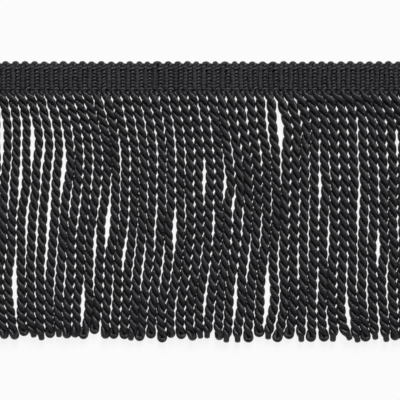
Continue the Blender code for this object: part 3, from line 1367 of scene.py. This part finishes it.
        half_width = np.where(smooth, self.smooth_half_width * swell, self.beaded_half_width)
        half_width = blend(half_width * (1.0 - self.narrowing * gripped), self.arch_ply, near_arch)
        half_height = np.where(smooth, self.smooth_half_height, self.beaded_half_height)
        half_height = blend(half_height * (1.0 - gripped), self.arch_ply, near_arch)
        height = np.where(smooth, self.smooth_height, self.beaded_height)
        height = blend(height, self.arch_height, near_arch)
        height = height - self.dip * np.exp(-np.square((below - self.dip_place) / self.dip_half_length))

        wide = rib.width / PITCH
        leg = np.where(smooth, rib.at(self.smooth_share), rib.at(self.beaded_share))
        arch = centre + side * self.arch_radius * wide
        x_leg = blend(leg, arch, near_arch) + sway * (1.0 - near_arch) + side * unit.out * half_width
        out = self.arch_radius + unit.out * self.arch_ply
        x = np.where(unit.on_loop, centre + unit.side_x * out * wide, x_leg)
        y = np.where(unit.on_loop, spring - self.arch_flatness * unit.side_y * out, rise)
        return np.column_stack((x, y, np.maximum(height + unit.up * half_height, 0.0)))

    def _cut_ends(self, piece: bpy.types.Object) -> None:
        """Cut a piece of the band off plainly at both ends.

        Args:
            piece: The piece.
        """
        mesh = bmesh.new()
        mesh.from_mesh(piece.data)
        for place, way in ((self.left_end, -1.0), (self.right_end, 1.0)):
            geometry = mesh.verts[:] + mesh.edges[:] + mesh.faces[:]
            cut = bmesh.ops.bisect_plane(
                mesh, geom=geometry, plane_co=(place, 0.0, 0.0), plane_no=(way, 0.0, 0.0), clear_outer=True
            )
            bmesh.ops.edgeloop_fill(mesh, edges=edges_among(cut["geom_cut"]))
        mesh.to_mesh(piece.data)
        mesh.free()

    def _column_stitches(self, rib: Rib, dice: random.Random) -> list[Stitch]:
        """Work one chain up over a rib's beaded leg.

        Args:
            rib: The rib.
            dice: Draws the stitches' small differences.

        Returns:
            The stitches, from the lower edge up.
        """
        column_slant = dice.uniform(*self.column_slant)
        made = []
        for row in range(self.rows):
            form = self.row_forms.get(row, RowForm())
            reach = self.stitch_reach * dice.uniform(*self.reach_spread) * form.reach
            top = self.stitch_top * dice.uniform(*self.top_spread)
            radius = self.stitch_radius * dice.uniform(*self.radius_spread) * form.radius
            slant = column_slant + dice.uniform(*self.slant_spread)
            slant = slant * form.slant_kept + form.slant_added
            peak = dice.uniform(*self.peak_spread)
            if form.peak is not None:
                peak = form.peak
            x = rib.at(self.beaded_share) + dice.uniform(-self.aside, self.aside) + form.shift
            y = self._row_line(row) + dice.uniform(-self.unlevel, self.unlevel)
            reach = min(reach, self.widest_reach * rib.width)
            made.append(Stitch(x, y, reach, self.stitch_foot, top, radius, slant, peak))
        return made

    def _cross_stitch(self, rib: Rib, dice: random.Random) -> Stitch:
        """Make the loose stitch that crosses a rib's smooth leg.

        Args:
            rib: The rib.
            dice: Draws the stitch's small differences.

        Returns:
            The stitch.
        """
        return Stitch(
            x=rib.at(self.smooth_share),
            y=self._row_line(self.cross_row),
            reach=self.cross_reach * dice.uniform(*self.cross_reach_spread),
            foot=self.cross_foot,
            top=self.cross_top,
            radius=self.cross_radius,
            slant=dice.uniform(*self.cross_slant),
        )

    def _chains(self) -> bpy.types.Object:
        """Make the chains over the beaded legs, and the cross stitches over the smooth ones.

        Returns:
            The piece.
        """
        chains = Stitchwork(self.seed + 1, self.stitch_yarn)
        for rib in self._ribs():
            column = rib.at(self.beaded_share)
            if not self.left_end + self.stitch_reach < column < self.right_end - self.stitch_reach:
                continue
            stitches = self._column_stitches(rib, chains.dice)
            if rib.at(self.smooth_share) > self.left_end + MM:
                stitches.append(self._cross_stitch(rib, chains.dice))
            for stitch in stitches:
                chains.work(chains.points(stitch))
        return chains.piece("heading_chains", self.lit_chain_material)

    def _laps(self) -> bpy.types.Object:
        """Make the laps that cross the back from chain to chain, one for each row, cut as the wefts are.

        Returns:
            The piece.
        """
        laps = Stitchwork(self.seed + 3, self.lap_yarn)
        for rib in self._ribs():
            column = rib.at(self.beaded_share)
            if not self.left_end - 0.5 * PITCH < column < self.right_end + 0.5 * PITCH:
                continue
            for row in range(self.rows):
                y = self._row_line(row) + laps.dice.uniform(-self.lap_unlevel, self.lap_unlevel)
                reach = self.lap_reach * rib.width
                lap = Stitch(column, y, reach, 0.0, self.lap_depth, self.lap_radius, self.lap_slant)
                points = laps.points(lap)
                # turned over, to face down
                points[:, 0] = 2.0 * column - points[:, 0]
                points[:, 2] = self.lap_depth + self.lap_radius - points[:, 2]
                laps.work(points)
        piece = laps.piece("heading_laps", self.material)
        self._cut_ends(piece)
        return piece

    def _ground(self) -> bpy.types.Object:
        """Make the ground that the chains form behind the wefts, as a thin ribbed sheet.

        Returns:
            The piece.
        """
        mesh = bmesh.new()
        columns = BULLION_COUNT * self.ground_steps_a_rib
        rows = self.rows * self.ground_steps_a_row
        bmesh.ops.create_grid(mesh, x_segments=columns, y_segments=rows, size=1.0, calc_uvs=False)
        bottom = self.lower_edge - self.ground_below
        top = self.upper_edge - self.valley_depth
        for vert in mesh.verts:
            x = self.left_end + 0.5 * (vert.co.x + 1.0) * (self.right_end - self.left_end)
            y = bottom + 0.5 * (vert.co.y + 1.0) * (top - bottom)
            ripple = math.cos(TURN * (y - self._row_line(0)) / self.row_pitch)
            vert.co = (x, y, self.ground_height + self.ground_ripple * ripple)
        bmesh.ops.solidify(mesh, geom=mesh.faces[:], thickness=self.ground_thickness)
        bmesh.ops.recalc_face_normals(mesh, faces=mesh.faces)
        layer = mesh.loops.layers.uv.new(UV_NAME)
        mesh.verts.layers.float.new(DYE_NAME)
        for face in mesh.faces:
            face.smooth = True
            for loop in face.loops:
                loop[layer].uv = (loop.vert.co.x, (loop.vert.co.y - self.lower_edge) / self.row_pitch)
        return set_in_scene(mesh, "heading_ground", self.material)


@dataclass
class FootChain:
    """The last crocheted row, which holds the bullions: a bar between two of them and a bead over each."""

    middle: float
    line: float
    material: bpy.types.Material
    seed: int = 9

    foot: float = 0.9 * MM
    yarn_length: float = 1.6 * MM
    bar_place: float = 1.05 * MM
    bar_unlevel: float = 0.08 * MM
    bar_reach: float = 0.95 * MM
    bar_reach_spread: tuple[float, float] = (0.9, 1.05)
    bar_top: float = 1.95 * MM
    bar_top_spread: tuple[float, float] = (0.95, 1.05)
    bar_radius: float = 0.30 * MM
    bar_slant: tuple[float, float] = (-0.1, 0.3)
    bead_place: float = -0.85 * MM
    bead_rise: float = 0.18 * MM
    bead_reach: float = 0.50 * MM
    bead_top: float = 2.2 * MM
    bead_radius: float = 0.27 * MM
    bead_slant: tuple[float, float] = (0.4, 0.8)

    def build(self) -> bpy.types.Object:
        """Build the row.

        Returns:
            The piece.
        """
        chain = Stitchwork(self.seed, self.yarn_length)
        dice = chain.dice
        for number in range(BULLION_COUNT):
            root = self.middle + root_place(number)
            bar = Stitch(
                x=root + self.bar_place,
                y=self.line + dice.uniform(-self.bar_unlevel, self.bar_unlevel),
                reach=self.bar_reach * dice.uniform(*self.bar_reach_spread),
                foot=self.foot,
                top=self.bar_top * dice.uniform(*self.bar_top_spread),
                radius=self.bar_radius,
                slant=dice.uniform(*self.bar_slant),
            )
            bead = Stitch(
                x=root + self.bead_place,
                y=self.line + self.bead_rise,
                reach=self.bead_reach,
                foot=self.foot,
                top=self.bead_top,
                radius=self.bead_radius,
                slant=dice.uniform(*self.bead_slant),
            )
            chain.work(chain.points(bar))
            chain.work(chain.points(bead))
        return chain.piece("foot_chain", self.material)


@dataclass(frozen=True)
class Studio:
    """A plain pale floor, soft light from the upper edge, and a camera straight above."""

    camera_place: tuple[float, float, float] = (-2.31 * MM, 0.59 * MM, 602.5 * MM)
    lens: float = 150.0
    sensor: float = 36.0
    floor_half: float = 4.0
    floor_drop: float = 0.02 * MM
    sun_from: tuple[float, float, float] = (0.10, 0.80, 0.55)
    sun_power: float = 3.3
    sun_angle: float = 32.0
    sky: float = 0.14

    def build(self) -> None:
        """Set the stage, the light and the camera."""
        self._floor()
        self._light()
        self._camera()
        bpy.context.scene.view_settings.view_transform = "Standard"

    def _floor(self) -> None:
        """Lay the floor just below the trimming."""
        mesh = bmesh.new()
        bmesh.ops.create_grid(mesh, x_segments=2, y_segments=2, size=self.floor_half)
        bmesh.ops.translate(mesh, vec=(0.0, 0.0, -self.floor_drop), verts=mesh.verts)
        set_in_scene(mesh, "floor", FloorFinish().make())

    def _light(self) -> None:
        """Hang a wide soft sun in a dim even sky."""
        lamp = bpy.data.lights.new("window", "SUN")
        lamp.energy = self.sun_power
        lamp.angle = math.radians(self.sun_angle)
        sun = bpy.data.objects.new("window", lamp)
        sun.rotation_euler = Vector(self.sun_from).to_track_quat("Z", "Y").to_euler()
        bpy.context.scene.collection.objects.link(sun)
        world = bpy.data.worlds.new("room")
        world.use_nodes = True
        maker = NodeMaker(world.node_tree)
        sky = maker.node("ShaderNodeBackground", None, {"Color": WHITE, "Strength": self.sky})
        maker.node("ShaderNodeOutputWorld", None, {"Surface": sky.outputs["Background"]})
        bpy.context.scene.world = world

    def _camera(self) -> None:
        """Set the camera above the trimming, looking straight down."""
        data = bpy.data.cameras.new("camera")
        data.lens = self.lens
        data.sensor_width = self.sensor
        data.clip_start = 0.01
        data.clip_end = 20.0
        camera = bpy.data.objects.new("camera", data)
        camera.location = self.camera_place
        bpy.context.scene.collection.objects.link(camera)
        bpy.context.scene.camera = camera


def main() -> None:
    """Dress the trimming and set the studio."""
    logging.basicConfig(level=logging.INFO, format="%(name)s: %(message)s")
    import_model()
    low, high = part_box("heading")
    foot_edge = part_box("skirt")[1].y
    middle = 0.5 * (low.x + high.x)
    Studio().build()
    for piece in Bullions(middle=middle, root_line=foot_edge - ROOT_LINE_DROP).build():
        hand_over(piece, "skirt")
    heading = Heading(middle=middle, lower_edge=low.y, upper_edge=high.y, left_end=low.x, right_end=high.x)
    for piece in heading.build():
        hand_over(piece, "heading")
    foot_chain = FootChain(middle=middle, line=foot_edge - FOOT_CHAIN_DROP, material=heading.material)
    hand_over(foot_chain.build(), "skirt")


if __name__ == "__main__":
    main()
